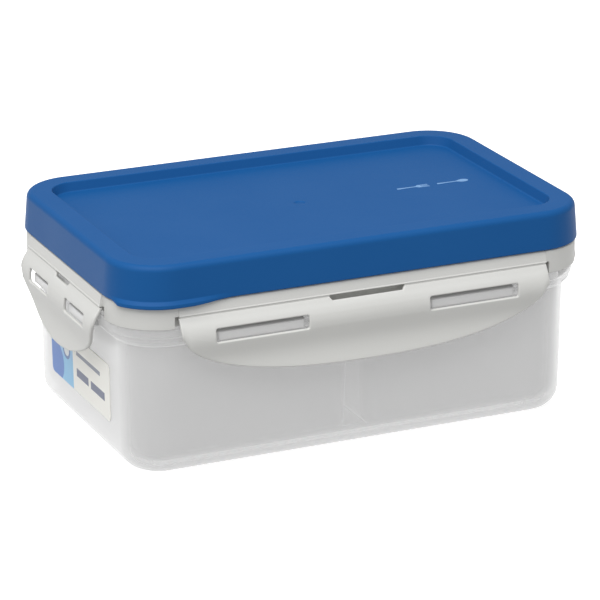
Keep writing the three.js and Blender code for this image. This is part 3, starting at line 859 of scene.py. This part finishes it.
def label_print():
    finish = Finish("label_print")
    _, across, up = finish.axes()

    def bar_at(centre, half_width, level, half_height):
        sideways = (across - centre * MM).size().below(half_width * MM, PRINT_EDGE)
        return sideways * (up - level * MM).size().below(half_height * MM, PRINT_EDGE)

    def disc_at(centre, level, radius):
        offset = finish.node("ShaderNodeVectorMath", {"operation": "LENGTH"}, {0: finish.node(
            "ShaderNodeCombineXYZ", {}, {"X": across - centre * MM, "Y": up - level * MM})}, "Value")
        return offset.below(radius * MM, PRINT_EDGE)

    paper = finish.noise(300.0)
    ground = finish.mix(paper * 0.4, colour(240, 239, 232), colour(232, 231, 224))
    picture = 1 - across.below(PICTURE_START * MM, PRINT_EDGE)
    sky = finish.mix((up * 42.0 - 0.75), colour(70, 150, 215), colour(165, 205, 230))
    inks = finish.mix(picture, ground, sky)
    for centre, level, radius, ink in DISCS:
        inks = finish.mix(picture * disc_at(centre, level, radius), inks, colour(*ink))
    for centre, half_width, level, half_height, ink in BARS:
        inks = finish.mix(bar_at(centre, half_width, level, half_height), inks, colour(*ink))
    return finish.surface({"Base Color": inks, "Roughness": 0.35 + paper * 0.08,
                           "Normal": finish.bump(paper, 0.00002, 0.4)})


# %% Label
def label():
    """The sheet as a grid of rows, each as wide as the rounded outline, and tilted like the wall."""
    arcs = LABEL_CORNER * (1 - np.cos(np.radians(np.linspace(0, 90, 7))))
    levels = np.array([*(LABEL_BOTTOM + arcs), *np.linspace(LABEL_BOTTOM, LABEL_TOP, 7)[2:-2],
                       *(LABEL_TOP - arcs[::-1])])
    depth = np.maximum(LABEL_CORNER - np.minimum(levels - LABEL_BOTTOM, LABEL_TOP - levels), 0)
    half = LABEL_HALF - LABEL_CORNER + np.sqrt(LABEL_CORNER ** 2 - depth ** 2)
    wall = WALL_FOOT + (levels - 9.0) * (WALL_TOP - WALL_FOOT) / (RIM_BOTTOM - 9.0)
    widths = np.linspace(1, -1, 13)
    layers = []
    for lift in (0.27, 0.02):
        x = np.broadcast_to(-(CORE_X + wall + lift)[:, None], (len(levels), len(widths)))
        z = np.broadcast_to(levels[:, None], x.shape)
        layers.append(np.stack([x, half[:, None] * widths, z], axis=-1) * MM)
    index = np.arange(x.size).reshape(x.shape)
    cells = np.stack([index[:-1, :-1], index[:-1, 1:], index[1:, 1:], index[1:, :-1]],
                     axis=-1).reshape(-1, 4)
    count = x.size
    rims = [(b, a, a + count, b + count) for a, b in border_edges(cells).tolist()]
    points = np.concatenate([layer.reshape(-1, 3) for layer in layers]).tolist()
    return points, cells.tolist() + (cells[:, ::-1] + count).tolist() + rims


piece("label_sheet", *label(), label_print(), "label_film", "container", ["label"], crisp=50)

# %% [markdown]
# The studio is a pale floor that runs past the picture on all sides, with bright, even light all
# round, a broad soft lamp above and a weak one on the left. Large soft sources give the satin
# plastic wide highlights. The floor glows, which keeps the shadow under the box faint, and diffuse
# light does not bounce off it, or it would wash out the grey and blue plastics from below. It lies
# a little under the foot, because two faces at one height would show through each other.

# %% Floor and light
FLOOR_HALF, FLOOR_LEVEL, FLOOR_GLOW = 6.0, -0.0003, 0.5


def studio_floor():
    finish = Finish("studio_floor")
    speckle = finish.noise(40.0)
    ground = finish.mix(speckle, colour(250, 250, 250), colour(248, 248, 248))
    half, level = FLOOR_HALF, FLOOR_LEVEL
    mesh = bpy.data.meshes.new("studio_floor")
    mesh.from_pydata([(-half, -half, level), (half, -half, level),
                      (half, half, level), (-half, half, level)], [],
                     [(0, 1, 2, 3)])
    floor = bpy.data.objects.new("studio_floor", mesh)
    bpy.context.scene.collection.objects.link(floor)
    mesh.materials.append(finish.surface({
        "Base Color": ground, "Roughness": 0.9,
        "Emission Color": colour(255, 255, 255), "Emission Strength": FLOOR_GLOW}))
    floor.visible_diffuse = False


def soft_lamp(name, place, size, power, target=(0.0, 0.0, 0.05)):
    lamp = bpy.data.lights.new(name, "AREA")
    lamp.shape = "RECTANGLE"
    lamp.size, lamp.size_y = size
    lamp.energy = power
    made = bpy.data.objects.new(name, lamp)
    made.location = place
    made.rotation_euler = (Vector(target) - Vector(place)).to_track_quat("-Z", "Y").to_euler()
    bpy.context.scene.collection.objects.link(made)


studio_floor()
soft_lamp("overhead", (-0.45, -0.5, 1.35), (1.5, 1.3), 25.0)
soft_lamp("left_fill", (-1.6, -0.3, 0.7), (1.2, 1.0), 2.0)
world = bpy.data.worlds.new("studio")
world.use_nodes = True
light_round = world.node_tree.nodes["Background"].inputs
light_round["Color"].default_value = (1.0, 1.0, 1.0, 1.0)
light_round["Strength"].default_value = 0.5
bpy.context.scene.world = world
bpy.context.scene.view_settings.view_transform = "Standard"

# %% [markdown]
# The camera stands well back with a long lens, a little to the left of the front and above the box,
# so the lines of the box stay nearly parallel.

# %% Camera
AZIMUTH, ELEVATION, DISTANCE, LENS = -24.25, 19.43, 1.3258, 199.0
AIM = Vector((-2.6, -6.1, 44.45)) * MM
turn, rise = math.radians(AZIMUTH), math.radians(ELEVATION)
back = Vector((math.sin(turn) * math.cos(rise), -math.cos(turn) * math.cos(rise), math.sin(rise)))
lens = bpy.data.cameras.new("camera")
lens.lens = LENS
camera = bpy.data.objects.new("camera", lens)
camera.location = AIM + back * DISTANCE
camera.rotation_euler = back.to_track_quat("Z", "Y").to_euler()
bpy.context.scene.collection.objects.link(camera)
bpy.context.scene.camera = camera
print("camera at", [round(value, 3) for value in camera.location])

# %% Bringing the scene up to date
bpy.context.view_layer.update()
